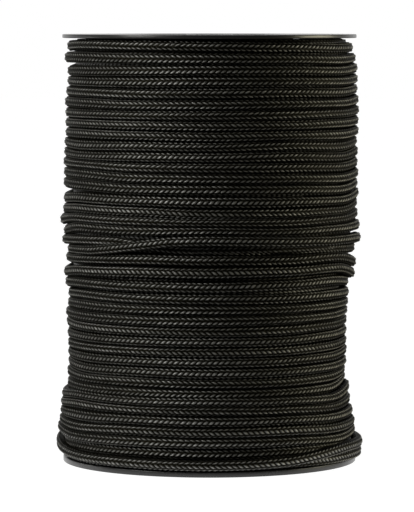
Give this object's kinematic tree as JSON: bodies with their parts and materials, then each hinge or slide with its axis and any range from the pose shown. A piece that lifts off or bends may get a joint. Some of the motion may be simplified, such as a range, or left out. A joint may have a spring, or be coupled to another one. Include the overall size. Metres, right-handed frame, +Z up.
{
  "type": "spool of braided cord",
  "caption": "Flanged spool standing upright, wound full of black braided cord, with an arbor bore through both flanges.",
  "frame": {"origin": "centre of the bottom flange's outer face, on the spool's axis", "axes": "+Z up the spool's axis, -Y the front, +X to the right seen from the front"},
  "size_m": [0.1838, 0.185, 0.2544],
  "materials": {
    "flange_plastic": "semi-gloss moulded",
    "barrel_board": "wound board, matt",
    "cord": "braided filament yarn",
    "cord_seal": "heat-sealed"
  },
  "bodies": {
    "root": {"top_flange": "flange_plastic", "bottom_flange": "flange_plastic", "barrel": "barrel_board", "rope_inner_layers": "cord", "rope_upper_turns": "cord", "rope_crossing_turns": "cord", "rope_middle_turns": "cord", "rope_lower_turns": "cord", "rope_slack_turn": "cord", "rope_tail_seal": "cord_seal", "rope_inner_end": "cord", "rope_start_seal": "cord_seal"}
  },
  "joints": []
}
